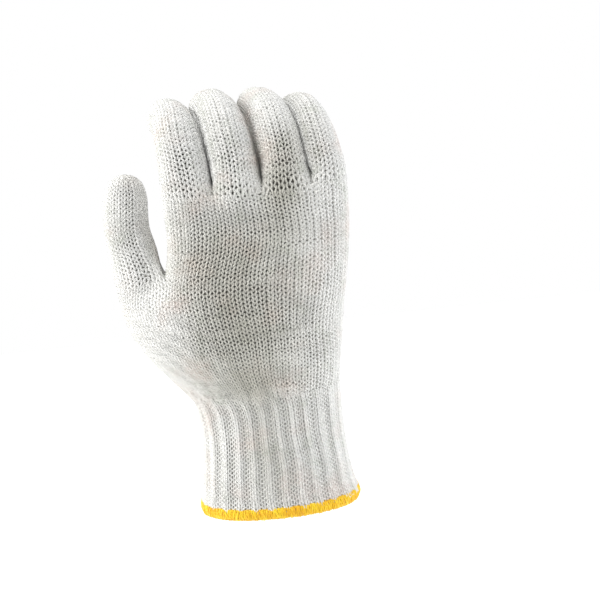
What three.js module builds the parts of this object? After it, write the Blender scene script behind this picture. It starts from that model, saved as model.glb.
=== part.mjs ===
// Cotton string-knit work glove for the right hand, shown as it is worn, with its fingers curled.
// The wrist opening is centred on the origin, the fingers point up, the back of the hand faces -Y
// and the thumb lies on the -X side. Each knitted section is a hollow wall of its own.
import * as THREE from 'three'

// Sizes in millimetres
const knitWall = 2.0
const seamGap = 0.3
const palmWidth = 97
const palmDepth = 36
const lowerPalmLength = 63.5
const upperPalmLength = 42
const webRise = 6.5
const valleyDepth = 3.2
const cuffWidth = 77
const cuffDepth = 50
const cuffLength = 60.5
const ribRelief = 1.1
const bindingHeight = 5.8
const bindingThickness = 3.6
const thumbLength = 57
const thumbWidth = 24.4
const thumbDepth = 23.5
const indexLength = 67
const middleLength = 72
const ringLength = 70
const littleLength = 64
const fingerDepth = 23.5

// Counts of the knit
const ribCount = 26
const pointsPerRib = 3
const bindingSteps = 40

// Colours
const bleachedCotton = '#f1f0ec'
const yellowThread = '#f6b70c'

// Fingers from the thumb side: columns of the cage on the back, share of the palm's width at the
// root, length along the middle, lean towards the thumb in degrees, share of the finger depth and
// share of the width that is left at the tip
const fingers = [
  { name: 'index_finger', columns: 3, root: 0.278, length: indexLength, lean: 7, depth: 1,
    taper: 0.91 },
  { name: 'middle_finger', columns: 3, root: 0.263, length: middleLength, lean: 8.8, depth: 1.02,
    taper: 0.98 },
  { name: 'ring_finger', columns: 3, root: 0.260, length: ringLength, lean: 9.8, depth: 1,
    taper: 0.97 },
  { name: 'little_finger', columns: 2, root: 0.199, length: littleLength, lean: 10.6,
    depth: 0.84, taper: 0.83 },
]

// Rings of a finger: share of its length, curl from upright in degrees, share of its lean, and
// shares of its width at the root and of its depth
const fingerRings = [
  { along: 0.00, curl: 14, lean: 0.3, width: 1.00, depth: 1.00 },
  { along: 0.14, curl: 20, lean: 0.6, width: 0.97, depth: 1.05 },
  { along: 0.37, curl: 38, lean: 1.1, width: 0.94, depth: 1.02 },
  { along: 0.60, curl: 68, lean: 1.9, width: 0.90, depth: 0.99 },
  { along: 0.82, curl: 96, lean: 2.3, width: 0.84, depth: 0.90 },
  { along: 0.965, curl: 104, lean: 2.3, width: 0.54, depth: 0.58 },
  { along: 1.00, curl: 106, lean: 2.3, width: 0.10, depth: 0.10 },
]

// Rings of the thumb, with its lean in degrees
const thumbRings = [
  { along: 0.00, curl: 12, lean: 12, width: 1.14, depth: 1.12 },
  { along: 0.22, curl: 15, lean: 12, width: 1.05, depth: 1.06 },
  { along: 0.42, curl: 15, lean: 7, width: 0.98, depth: 1.00 },
  { along: 0.62, curl: 12, lean: -4, width: 0.97, depth: 0.97 },
  { along: 0.82, curl: 10, lean: -6, width: 0.91, depth: 0.88 },
  { along: 0.965, curl: 8, lean: -6, width: 0.56, depth: 0.56 },
  { along: 1.00, curl: 8, lean: -6, width: 0.10, depth: 0.10 },
]

// Cross-sections of the cuff: share of its length, and reach to each side as shares of half its
// width and half its depth
const cuffSections = [
  { up: 0.00, left: 1.09, right: 1.12, back: 1.12, front: 1.12 },
  { up: 0.14, left: 1.045, right: 1.06, back: 1.05, front: 1.05 },
  { up: 0.48, left: 0.975, right: 1.005, back: 0.97, front: 0.97 },
  { up: 0.84, left: 0.995, right: 1.00, back: 0.955, front: 0.96 },
  { up: 1.00, left: 1.115, right: 1.015, back: 0.97, front: 0.98 },
]
const wristSection = cuffSections.at(-1)

// Cross-sections of the lower palm above the wrist, as shares of its length and of half the palm's
// width and depth; thumb is how far the thumb side is carried forward
const lowerPalmSections = [
  { up: 0.165, left: 1.06, right: 0.83, back: 1.36, front: 1.40, thumb: 0.05 },
  { up: 0.35, left: 1.26, right: 0.87, back: 1.33, front: 1.40, thumb: 0.15 },
  { up: 0.57, left: 1.43, right: 0.91, back: 1.27, front: 1.34, thumb: 0.30 },
  { up: 0.80, left: 1.50, right: 0.965, back: 1.20, front: 1.24, thumb: 0.42 },
]

// Cross-sections of the upper palm, from the thumb's crotch to the finger roots
const upperPalmSections = [
  { up: 0.00, left: 0.995, right: 1.015, back: 1.13, front: 1.16 },
  { up: 0.32, left: 0.91, right: 1.055, back: 1.04, front: 1.08 },
  { up: 0.68, left: 0.90, right: 1.08, back: 0.965, front: 1.01 },
  { up: 1.00, left: 0.91, right: 1.09, back: 0.90, front: 0.94 },
]

// Levels and places worked out from the sizes
const wristLevel = bindingHeight + cuffLength
const thumbCrotchLevel = wristLevel + lowerPalmLength
const rootLevel = thumbCrotchLevel + upperPalmLength
const halfPalm = palmWidth / 2
const halfPalmDepth = palmDepth / 2
const palmLean = 0.026
const palmRoundness = 2.5
const cuffRoundness = 2.2
const thumbRoot = { across: -1.245, forward: 0.46, drop: 1.5 }
const crotchRise = 0.5

const palmColumns = fingers.reduce((sum, finger) => sum + finger.columns, 0)
const thumbColumns = 9

// Half of a rounded outline from its right end to its left end, in equal steps along its length;
// side is -1 for the back of the hand and 1 for the palm side
function halfOutline(halfWidth, depth, side, roundness, steps) {
  const fine = 240
  const points = []
  const lengths = [0]
  for (let i = 0; i <= fine; i++) {
    const angle = Math.PI * i / fine
    const across = Math.sign(Math.cos(angle)) * Math.abs(Math.cos(angle)) ** (2 / roundness)
    const out = Math.max(0, Math.sin(angle)) ** (2 / roundness)
    points.push(new THREE.Vector2(halfWidth * across, side * depth * out))
    if (i > 0) lengths.push(lengths[i - 1] + points[i].distanceTo(points[i - 1]))
  }
  const outline = []
  for (let step = 0; step < steps; step++) {
    const length = lengths[fine] * step / steps
    let i = 1
    while (lengths[i] < length) i++
    const share = (length - lengths[i - 1]) / (lengths[i] - lengths[i - 1])
    outline.push(points[i - 1].clone().lerp(points[i], share))
  }
  return outline
}

// A level ring of points round a cross-section: right side, back, left side, palm side
function sectionRing(section, halfWidth, halfDepth, level, lean, roundness, count) {
  const left = -section.left * halfWidth
  const right = section.right * halfWidth
  const half = (right - left) / 2
  const over = halfOutline(half, section.back * halfDepth, -1, roundness, count / 2)
  const under = halfOutline(half, section.front * halfDepth, 1, roundness, count / 2)
  const flat = [...over, ...under.map((point) => new THREE.Vector2(-point.x, point.y))]
  const middle = (left + right) / 2
  return flat.map((point) => {
    const thumbSide = THREE.MathUtils.smoothstep(-point.x, 0, half)
    const forward = lean + (section.thumb ?? 0) * halfDepth * thumbSide
    return new THREE.Vector3(middle + point.x, point.y + forward, level)
  })
}

// How far the hand leans towards its palm side at a level
const leanAt = (level) => Math.max(0, level - wristLevel) * palmLean

// The surface of the hand is one coarse cage of four-sided faces, which is then rounded
const cage = { points: [], faces: [] }

function addPoint(point) {
  cage.points.push(point)
  return cage.points.length - 1
}

function addRing(points) {
  return points.map(addPoint)
}

function addBand(lower, upper, section) {
  lower.forEach((corner, i) => {
    const next = (i + 1) % lower.length
    cage.faces.push({ corners: [corner, upper[i], upper[next], lower[next]], section })
  })
}

// Rings of a digit along its curved middle line, closed by a small end face
function addDigit(name, loop, base, rings, size) {
  const turn = THREE.MathUtils.degToRad
  const centre = base.clone()
  let below = loop
  for (let k = 1; k < rings.length; k++) {
    const start = rings[k - 1]
    const end = rings[k]
    const parts = 8
    let curl = 0
    let lean = 0
    for (let part = 0; part < parts; part++) {
      const share = (part + 0.5) / parts
      curl = turn(THREE.MathUtils.lerp(start.curl, end.curl, share))
      lean = turn(THREE.MathUtils.lerp(start.lean, end.lean, share) * size.lean)
      const step = (end.along - start.along) * size.length / parts
      centre.x -= Math.sin(lean) * step
      centre.y += Math.cos(lean) * Math.sin(curl) * step
      centre.z += Math.cos(lean) * Math.cos(curl) * step
    }
    curl = turn(end.curl)
    const width = end.width * size.width * THREE.MathUtils.lerp(1, size.taper, end.along)
    lean = turn(end.lean * size.lean)
    const across = new THREE.Vector3(Math.cos(lean), Math.sin(lean) * Math.sin(curl),
      Math.sin(lean) * Math.cos(curl))
    const outwards = new THREE.Vector3(0, -Math.cos(curl), Math.sin(curl))
    const ring = loop.map((corner, i) => {
      const angle = 2 * Math.PI * i / loop.length
      return centre.clone()
        .addScaledVector(across, width / 2 * Math.cos(angle))
        .addScaledVector(outwards, end.depth * size.depth / 2 * Math.sin(angle))
    })
    const above = addRing(ring)
    addBand(below, above, name)
    below = above
  }
  cage.faces.push({ corners: [...below].reverse(), section: name })
}

// Lower palm: rings from the wrist up, with the thumb's columns on the left
const lowerCount = 2 * (palmColumns + 2) + thumbColumns - 1
const upperCount = 2 * (palmColumns + 2)
let lowerRing = addRing(sectionRing(wristSection, cuffWidth / 2, cuffDepth / 2, wristLevel, 0,
  cuffRoundness, lowerCount))
for (const section of lowerPalmSections) {
  const level = wristLevel + section.up * lowerPalmLength
  const ring = addRing(sectionRing(section, halfPalm, halfPalmDepth, level, leanAt(level),
    palmRoundness, lowerCount))
  addBand(lowerRing, ring, 'lower_palm')
  lowerRing = ring
}

// The palm divides into the upper palm and the thumb at the thumb's crotch
function upperPalmRing(section) {
  const level = thumbCrotchLevel + section.up * upperPalmLength
  return sectionRing(section, halfPalm, halfPalmDepth, level, leanAt(level), palmRoundness,
    upperCount)
}
const leftSide = upperCount / 2
let upperRing = addRing(upperPalmRing(upperPalmSections[0]))
const thumbBase = new THREE.Vector3(thumbRoot.across * halfPalm, thumbRoot.forward * halfPalmDepth,
  thumbCrotchLevel - thumbRoot.drop)
const thumbStart = thumbRings[0]
const thumbLean = THREE.MathUtils.degToRad(thumbStart.lean)
const thumbRing = []
for (let i = 2; i < thumbColumns + 2; i++) {
  const angle = 2 * Math.PI * i / (thumbColumns + 3)
  const across = thumbStart.width * thumbWidth / 2 * Math.cos(angle)
  thumbRing.push(addPoint(new THREE.Vector3(thumbBase.x + across * Math.cos(thumbLean),
    thumbBase.y - thumbStart.depth * thumbDepth / 2 * Math.sin(angle),
    thumbBase.z + across * Math.sin(thumbLean))))
}
const palmBack = upperRing.slice(0, leftSide)
const palmFront = upperRing.slice(leftSide + 1)
addBand(lowerRing, [...palmBack, ...thumbRing, ...palmFront], 'lower_palm')
const thumbLoop = [upperRing[leftSide], palmBack.at(-1), ...thumbRing, palmFront[0]]
addDigit('thumb', thumbLoop, thumbBase, thumbRings,
  { length: thumbLength, lean: 1, width: thumbWidth, depth: thumbDepth, taper: 1 })

// Upper palm, up to the line of the finger roots
for (const section of upperPalmSections.slice(1, -1)) {
  const ring = addRing(upperPalmRing(section))
  addBand(upperRing, ring, 'upper_palm')
  upperRing = ring
}
const rootSection = upperPalmSections.at(-1)
const rootPoints = upperPalmRing(rootSection)
const rootLean = leanAt(rootLevel)
const borders = []
for (const finger of [...fingers].reverse().slice(0, -1)) {
  borders.push((borders.at(-1) ?? 1) + finger.columns)
}
rootPoints.forEach((point, i) => {
  const mirrored = i <= leftSide ? i : upperCount - i
  if (borders.includes(mirrored)) point.y -= Math.sign(point.y - rootLean) * valleyDepth
  const towardsPalm = (point.y - rootLean) / (palmDepth * rootSection.front)
  point.z += webRise * (0.5 + towardsPalm)
})
const rootRing = addRing(rootPoints)
addBand(upperRing, rootRing, 'upper_palm')

// Fingers on their parts of the root line, with a shared crotch between neighbours
let right = rootRing[0]
let rightColumn = 1
for (const finger of [...fingers].reverse()) {
  const leftColumn = rightColumn + finger.columns
  const back = rootRing.slice(rightColumn, leftColumn + 1)
  const front = rootRing.slice(upperCount - leftColumn, upperCount - rightColumn + 1)
  const outer = leftColumn + 1 === leftSide
  const corner = cage.points[back.at(-1)]
  const opposite = cage.points[front[0]]
  const crotch = corner.clone().lerp(opposite, 0.5).setY(rootLean)
  crotch.z += crotchRise
  const left = outer ? rootRing[leftSide] : addPoint(crotch)
  const width = finger.root * palmWidth
  const base = cage.points[left].clone().lerp(cage.points[right], 0.5).setY(rootLean)
  base.z = rootLevel + webRise / 2
  addDigit(finger.name, [right, ...back, left, ...front], base, fingerRings,
    { ...finger, width, depth: finger.depth * fingerDepth })
  right = left
  rightColumn = leftColumn
}

const keyOf = (a, b) => Math.min(a, b) + '_' + Math.max(a, b)

// One step of Catmull-Clark rounding: each face becomes four-sided faces round a new middle point
function rounded(mesh) {
  const points = mesh.points.map((point) => point.clone())
  const average = (list) => list.reduce((sum, p) => sum.add(p), new THREE.Vector3())
    .divideScalar(list.length)
  const edges = new Map()
  const touching = mesh.points.map(() => ({ middles: [], edges: [] }))
  const middles = mesh.faces.map((face) => {
    points.push(average(face.corners.map((corner) => mesh.points[corner])))
    const middle = points.length - 1
    face.corners.forEach((a, i) => {
      touching[a].middles.push(middle)
      const b = face.corners[(i + 1) % face.corners.length]
      const key = keyOf(a, b)
      if (!edges.has(key)) edges.set(key, { ends: [a, b], middles: [] })
      edges.get(key).middles.push(middle)
    })
    return middle
  })
  for (const edge of edges.values()) {
    const ends = edge.ends.map((end) => mesh.points[end])
    const inner = edge.middles.length === 2 ? edge.middles.map((middle) => points[middle]) : []
    points.push(average([...ends, ...inner]))
    edge.point = points.length - 1
    edge.ends.forEach((end) => touching[end].edges.push(edge))
  }
  mesh.points.forEach((point, i) => {
    const around = touching[i]
    const rim = around.edges.filter((edge) => edge.middles.length === 1)
    if (rim.length) {
      const ends = rim.map((edge) => points[edge.point])
      points[i] = average([point, point, ...ends])
      return
    }
    const count = around.edges.length
    const faceAverage = average(around.middles.map((middle) => points[middle]))
    const edgeAverage = average(around.edges.map((edge) =>
      mesh.points[edge.ends[0]].clone().lerp(mesh.points[edge.ends[1]], 0.5)))
    points[i] = point.clone().multiplyScalar(count - 3).add(faceAverage)
      .addScaledVector(edgeAverage, 2).divideScalar(count)
  })
  const faces = []
  mesh.faces.forEach((face, f) => face.corners.forEach((corner, i) => {
    const size = face.corners.length
    const next = edges.get(keyOf(corner, face.corners[(i + 1) % size])).point
    const last = edges.get(keyOf(corner, face.corners[(i + size - 1) % size])).point
    faces.push({ corners: [corner, next, middles[f], last], section: face.section })
  }))
  return { points, faces }
}

// Where each point of a four-sided mesh ends up on the fully rounded surface
function onSurface(mesh) {
  const near = mesh.points.map(() => ({ edges: new Map(), corners: [] }))
  for (const { corners } of mesh.faces) {
    corners.forEach((corner, i) => {
      for (const beside of [corners[(i + 1) % 4], corners[(i + 3) % 4]]) {
        near[corner].edges.set(beside, (near[corner].edges.get(beside) ?? 0) + 1)
      }
      near[corner].corners.push(corners[(i + 2) % 4])
    })
  }
  return mesh.points.map((point, i) => {
    const rim = [...near[i].edges].filter(([, faces]) => faces === 1).map(([beside]) => beside)
    if (rim.length) {
      return point.clone().multiplyScalar(4).add(mesh.points[rim[0]]).add(mesh.points[rim[1]])
        .divideScalar(6)
    }
    const count = near[i].edges.size
    const limit = point.clone().multiplyScalar(count * count)
    for (const beside of near[i].edges.keys()) limit.addScaledVector(mesh.points[beside], 4)
    for (const across of near[i].corners) limit.add(mesh.points[across])
    return limit.divideScalar(count * (count + 5))
  })
}

// Moves the cage until its rounded surface passes through the points that it was given
function fitted(mesh) {
  const fit = { points: mesh.points.map((point) => point.clone()), faces: mesh.faces }
  for (let round = 0; round < 4; round++) {
    const surface = onSurface(rounded(fit))
    fit.points.forEach((point, i) => point.add(mesh.points[i]).sub(surface[i]))
  }
  return fit
}

// A wall from an outer and an inner copy of the same faces, joined along their open edges
function wallGeometry(outer, inner, faces) {
  const index = []
  const count = outer.length
  const addFace = (a, b, c, d) => index.push(a, b, c, a, c, d)
  const open = new Map()
  for (const [a, b, c, d] of faces) {
    addFace(a, b, c, d)
    addFace(count + a, count + d, count + c, count + b)
    for (const [from, to] of [[a, b], [b, c], [c, d], [d, a]]) {
      if (!open.delete(to + '_' + from)) open.set(from + '_' + to, [from, to])
    }
  }
  for (const [from, to] of open.values()) {
    if (from < to) addFace(to, from, count + from, count + to)
    else addFace(from, count + from, count + to, to)
  }
  const geometry = new THREE.BufferGeometry()
  geometry.setAttribute('position', new THREE.BufferAttribute(
    new Float32Array([...outer, ...inner].flatMap((point) => point.toArray())), 3))
  geometry.setIndex(index)
  geometry.computeVertexNormals()
  return geometry
}

// Outward direction at each point of a mesh, from the faces round it
function directionsOut(points, faces) {
  const out = points.map(() => new THREE.Vector3())
  for (const corners of faces) {
    const [a, b, c, d] = corners.map((corner) => points[corner])
    const normal = c.clone().sub(a).cross(d.clone().sub(b))
    corners.forEach((corner) => out[corner].add(normal))
  }
  return out.map((normal) => normal.normalize())
}

// The wall of one knitted section, held half a seam gap back from its neighbours
function sectionWall(surface, normals, faces) {
  const used = [...new Set(faces.flat())].sort((a, b) => a - b)
  const place = new Map(used.map((point, i) => [point, i]))
  const open = new Map()
  for (const corners of faces) {
    corners.forEach((from, i) => {
      const to = corners[(i + 1) % 4]
      if (!open.delete(to + '_' + from)) open.set(from + '_' + to, [from, to])
    })
  }
  const inwards = new Map()
  for (const [from, to] of open.values()) {
    const along = surface[to].clone().sub(surface[from])
    for (const end of [from, to]) {
      const across = normals[end].clone().cross(along).normalize()
      inwards.set(end, [...(inwards.get(end) ?? []), across])
    }
  }
  const outer = used.map((point) => surface[point].clone())
  for (const [point, [first, second]] of inwards) {
    const corner = Math.max(0.4, 1 + first.dot(second))
    outer[place.get(point)].addScaledVector(first.clone().add(second), seamGap / 2 / corner)
  }
  const inner = outer.map((point, i) => point.clone().addScaledVector(normals[used[i]], -knitWall))
  return wallGeometry(outer, inner, faces.map((corners) => corners.map((c) => place.get(c))))
}

// Ribbed tube between the binding and the wrist, with a ridge at each rib
function cuffGeometry() {
  const count = ribCount * pointsPerRib
  const outer = []
  const inner = []
  const faces = []
  const low = bindingHeight + seamGap
  const high = wristLevel - seamGap / 2
  cuffSections.forEach((section, row) => {
    const level = THREE.MathUtils.lerp(low, high, section.up)
    const ring = sectionRing(section, cuffWidth / 2, cuffDepth / 2, level, 0, cuffRoundness, count)
    ring.forEach((point, i) => {
      const before = ring[(i + count - 1) % count]
      const after = ring[(i + 1) % count]
      const out = after.clone().sub(before).cross(new THREE.Vector3(0, 0, 1)).normalize()
      const ridge = i % pointsPerRib === 0 ? 0 : -ribRelief
      outer.push(point.clone().addScaledVector(out, -ridge))
      inner.push(point.clone().addScaledVector(out, knitWall))
      if (row > 0) {
        const next = (i + 1) % count
        const below = (row - 1) * count
        faces.push([below + i, row * count + i, row * count + next, below + next])
      }
    })
  })
  return wallGeometry(outer, inner, faces)
}

// Overlocked edge: a rounded band of thread round the wrist opening
function bindingGeometry() {
  const middle = sectionRing(cuffSections[0], cuffWidth / 2, cuffDepth / 2, bindingHeight / 2, 0,
    cuffRoundness, bindingSteps)
  const sides = 8
  const points = []
  const index = []
  middle.forEach((point, i) => {
    const before = middle[(i + bindingSteps - 1) % bindingSteps]
    const after = middle[(i + 1) % bindingSteps]
    const out = after.clone().sub(before).cross(new THREE.Vector3(0, 0, 1)).normalize()
    const centre = point.clone().addScaledVector(out, knitWall / 2)
    for (let side = 0; side < sides; side++) {
      const angle = 2 * Math.PI * (side + 0.5) / sides
      const round = 1 / Math.cos(Math.PI / sides)
      points.push(centre.clone()
        .addScaledVector(out, -bindingThickness / 2 * Math.cos(angle) * round)
        .add(new THREE.Vector3(0, 0, bindingHeight / 2 * Math.sin(angle) * round)))
      const nextSide = (side + 1) % sides
      const next = ((i + 1) % bindingSteps) * sides
      const here = i * sides
      index.push(here + side, here + nextSide, next + nextSide)
      index.push(here + side, next + nextSide, next + side)
    }
  })
  const geometry = new THREE.BufferGeometry()
  geometry.setAttribute('position', new THREE.BufferAttribute(
    new Float32Array(points.flatMap((point) => point.toArray())), 3))
  geometry.setIndex(index)
  geometry.computeVertexNormals()
  return geometry
}

function addPiece(group, name, geometry, color) {
  const material = new THREE.MeshStandardMaterial({ color, roughness: 0.95, metalness: 0 })
  const piece = new THREE.Mesh(geometry, material)
  piece.name = name
  group.add(piece)
}

const fine = rounded(fitted(cage))
const surface = onSurface(fine)
const normals = directionsOut(surface, fine.faces.map((face) => face.corners))
const glove = new THREE.Group()
glove.name = 'cotton_work_glove'
for (const name of ['lower_palm', 'upper_palm', 'thumb', ...fingers.map((finger) => finger.name)]) {
  const faces = fine.faces.filter((face) => face.section === name).map((face) => face.corners)
  addPiece(glove, name, sectionWall(surface, normals, faces), bleachedCotton)
}
addPiece(glove, 'rib_cuff', cuffGeometry(), bleachedCotton)
addPiece(glove, 'edge_binding', bindingGeometry(), yellowThread)

export default glove
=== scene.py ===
# Cotton string-knit work glove for the right hand: yarn loops of every course over a thin backing,
# a ribbed cuff and a yellow overlocked hem. Sizes are in millimetres and are turned to metres where
# a mesh is made.
import math

import bmesh
import bpy
import numpy as np
from mathutils import Matrix, Vector


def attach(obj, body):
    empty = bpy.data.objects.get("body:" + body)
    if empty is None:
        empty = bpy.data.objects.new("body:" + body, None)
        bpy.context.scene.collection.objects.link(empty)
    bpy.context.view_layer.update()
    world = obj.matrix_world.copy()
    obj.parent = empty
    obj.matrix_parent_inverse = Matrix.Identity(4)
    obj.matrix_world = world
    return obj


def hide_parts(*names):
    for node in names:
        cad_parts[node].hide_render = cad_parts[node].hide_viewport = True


MM = 0.001

# Sizes of the glove, the same as in its solids
KNIT_WALL = 2.0
PALM_WIDTH = 97
PALM_DEPTH = 36
LOWER_PALM_LENGTH = 63.5
UPPER_PALM_LENGTH = 42
WEB_RISE = 6.5
VALLEY_DEPTH = 3.2
CUFF_WIDTH = 77
CUFF_DEPTH = 50
CUFF_LENGTH = 60.5
RIB_RELIEF = 1.1
BINDING_HEIGHT = 5.8
BINDING_THICKNESS = 3.6
THUMB_LENGTH = 57
THUMB_WIDTH = 24.4
THUMB_DEPTH = 23.5
INDEX_LENGTH = 67
MIDDLE_LENGTH = 72
RING_LENGTH = 70
LITTLE_LENGTH = 64
FINGER_DEPTH = 23.5
PALM_LEAN = 0.026
PALM_ROUNDNESS = 2.5
CUFF_ROUNDNESS = 2.2
CROTCH_RISE = 0.5
RIB_COUNT = 26
POINTS_PER_RIB = 3
THUMB_COLUMNS = 9

# Middle of the thumb's root, as shares of half the palm's width and depth, and how far it lies
# below the thumb's crotch
THUMB_ROOT = {"across": -1.245, "forward": 0.46, "drop": 1.5}

# Fingers from the thumb side: columns of the net on the back, share of the palm's width at the
# root, length, lean towards the thumb in degrees, share of the finger depth, width left at the tip,
# how deep the crease before it is, filled where that is below 0, and how much shade is painted in
# that crease, painted light where that is below 0
FINGERS = [
    {"name": "index_finger", "columns": 3, "root": 0.278, "length": INDEX_LENGTH, "lean": 7,
     "depth": 1, "taper": 0.91, "crease": 0, "crease_painted_shading": 0},
    {"name": "middle_finger", "columns": 3, "root": 0.263, "length": MIDDLE_LENGTH, "lean": 8.8,
     "depth": 1.02, "taper": 0.98, "crease": -0.3, "crease_painted_shading": -0.8},
    {"name": "ring_finger", "columns": 3, "root": 0.260, "length": RING_LENGTH, "lean": 9.8,
     "depth": 1, "taper": 0.97, "crease": 0.4, "crease_painted_shading": 0},
    {"name": "little_finger", "columns": 2, "root": 0.199, "length": LITTLE_LENGTH, "lean": 10.6,
     "depth": 0.84, "taper": 0.83, "crease": -1.4, "crease_painted_shading": -0.8},
]

# Rings of a finger: share of its length, curl from upright in degrees, share of its lean, and
# shares of its width at the root and of its depth
FINGER_RINGS = [
    {"along": 0.00, "curl": 14, "lean": 0.3, "width": 1.00, "depth": 1.00},
    {"along": 0.14, "curl": 20, "lean": 0.6, "width": 0.97, "depth": 1.05},
    {"along": 0.37, "curl": 38, "lean": 1.1, "width": 0.94, "depth": 1.02},
    {"along": 0.60, "curl": 68, "lean": 1.9, "width": 0.90, "depth": 0.99},
    {"along": 0.82, "curl": 96, "lean": 2.3, "width": 0.84, "depth": 0.90},
    {"along": 0.965, "curl": 104, "lean": 2.3, "width": 0.54, "depth": 0.58},
    {"along": 1.00, "curl": 106, "lean": 2.3, "width": 0.10, "depth": 0.10},
]

# Rings of the thumb, with its lean in degrees
THUMB_RINGS = [
    {"along": 0.00, "curl": 12, "lean": 12, "width": 1.14, "depth": 1.12},
    {"along": 0.22, "curl": 15, "lean": 12, "width": 1.05, "depth": 1.06},
    {"along": 0.42, "curl": 15, "lean": 7, "width": 0.98, "depth": 1.00},
    {"along": 0.62, "curl": 12, "lean": -4, "width": 0.97, "depth": 0.97},
    {"along": 0.82, "curl": 10, "lean": -6, "width": 0.91, "depth": 0.88},
    {"along": 0.965, "curl": 8, "lean": -6, "width": 0.56, "depth": 0.56},
    {"along": 1.00, "curl": 8, "lean": -6, "width": 0.10, "depth": 0.10},
]

# Cross-sections of the cuff: share of its length, reach to each side as shares of half its width
# and half its depth, and share of the ribs' relief
CUFF_SECTIONS = [
    {"up": 0.00, "left": 1.09, "right": 1.12, "back": 1.12, "front": 1.12, "relief": 0.2},
    {"up": 0.14, "left": 1.045, "right": 1.06, "back": 1.05, "front": 1.05, "relief": 0.4},
    {"up": 0.48, "left": 0.975, "right": 1.005, "back": 0.97, "front": 0.97, "relief": 0.42},
    {"up": 0.84, "left": 0.995, "right": 1.00, "back": 0.955, "front": 0.96, "relief": 0.36},
    {"up": 1.00, "left": 1.115, "right": 1.015, "back": 0.97, "front": 0.98, "relief": 0.2},
]

# Cross-sections of the lower palm, as shares of its length and of half the palm's width and depth;
# thumb is how far the thumb side is carried forward, and spread and pull say how far the wales are
# moved towards the thumb on the little finger's side and on its own, at the wrist too
LOWER_PALM_SECTIONS = [
    {"up": 0.165, "left": 1.06, "right": 0.83, "back": 1.36, "front": 1.40, "thumb": 0.05,
     "spread": 0.078, "pull": -0.020},
    {"up": 0.35, "left": 1.26, "right": 0.87, "back": 1.33, "front": 1.40, "thumb": 0.15,
     "spread": 0.050, "pull": -0.004},
    {"up": 0.57, "left": 1.43, "right": 0.91, "back": 1.27, "front": 1.34, "thumb": 0.30,
     "spread": 0.024, "pull": 0.014},
    {"up": 0.80, "left": 1.50, "right": 0.965, "back": 1.20, "front": 1.24, "thumb": 0.42,
     "spread": 0.012, "pull": 0.034},
]
WRIST_WALES = {"spread": 0.100, "pull": -0.026}

# Cross-sections of the upper palm, from the thumb's crotch to the finger roots
UPPER_PALM_SECTIONS = [
    {"up": 0.00, "left": 0.995, "right": 1.015, "back": 1.13, "front": 1.16},
    {"up": 0.32, "left": 0.91, "right": 1.055, "back": 1.04, "front": 1.08},
    {"up": 0.68, "left": 0.90, "right": 1.08, "back": 0.965, "front": 1.01},
    {"up": 1.00, "left": 0.91, "right": 1.09, "back": 0.90, "front": 0.94},
]

# Levels worked out from the sizes
WRIST_LEVEL = BINDING_HEIGHT + CUFF_LENGTH
THUMB_CROTCH_LEVEL = WRIST_LEVEL + LOWER_PALM_LENGTH
ROOT_LEVEL = THUMB_CROTCH_LEVEL + UPPER_PALM_LENGTH

# The string's thickness, the length in which its plies turn once round each other, and the height
# of its middle over the outer surface, which is below 0 as it lies inside
YARN = 1.08
PLY_TWIST = 2.6
YARN_MIDDLE = -0.72

# Usual spacing of the loops across and up, and how far up a section's first course lies, as a
# share of that
WALE = 3.5
COURSE = 2.25
COURSE_START = 0.15

# How unevenly the wales are spaced, as a share of their spacing, and how much thinner the string is
# in a wale that lies that far over
WALE_SHIFT = 0.06
WALE_SWELL = 0.07

# Narrowest and widest wale that the string's thickness follows, as shares of the usual one, and the
# fewest wales of which every second one ends where they get narrower still
NARROWEST_WALE = 0.55
WIDEST_WALE = 1.05
FEWEST_WALES = 5

# Random unevenness of the stitches: up, up in slow waves, outwards and across in wales, and of
# their thickness over a few stitches and in each one
UNEVEN = {"up": 0.13, "waves": 0.3, "out": 0.07, "across": 0.04, "swell": 0.1, "each": 0.05}

# How open the knit of the hand and of the cuff is of itself, how far above and below the wrist the
# one turns into the other, and how squarely it has to face backwards or forwards to open at all
HAND_OPENNESS = 0.26
CUFF_OPENNESS = 0.4
OPENING_RISE = 30
SIDE_FACING = 0.5

# How deep the backing lies under open knit, how much higher it lies under closed knit, and by what
# share the string is thicker there
BACKING_DEPTH = 1.45
CLOSED_RISE = 0.9
CLOSED_SWELL = 0.8

# How squarely a finger's side has to face the thumb, or the little finger, to take a crease's
# painted shading
THUMB_CREASE_FACING = 0.74
LITTLE_CREASE_FACING = 0.82

# The ribs open their valleys: the height below the wrist over which that sets in, how open the
# knit has to be for all of it, and how far those loops face out that it leaves as they are
RIB_FADE = 9
RIB_OPENNESS = 0.15
RIB_MIDDLE_FACING = 0.7

# How far the hem's thread reaches over the first course of the cuff, its thickness and its slant,
# and how much taller the band inside it is than thick
HEM_OVERLAP = 1.0
HEM_THREAD = 1.2
HEM_SLANT = 0.9
HEM_CORE_STRETCH = 1.9

# Random unevenness of the hem's turns, and of its thread along the hem, outwards and in thickness
HEM_UNEVEN = {"turns": 0.05, "along": 0.3, "out": 0.2, "thickness": 0.3}

# Slow sideways wander of the wales: shift, length of its waves across and up, and start
WANDER_WAVES = [(0.35, 14, 9, 0.4), (0.3, -21, 7, 2.1), (0.25, 9, -16, 4.0), (0.2, 31, 5, 5.2)]

# How fast the patches in the next two tables fade out beyond their half widths and half heights
PATCH_FADE = 0.7

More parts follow.
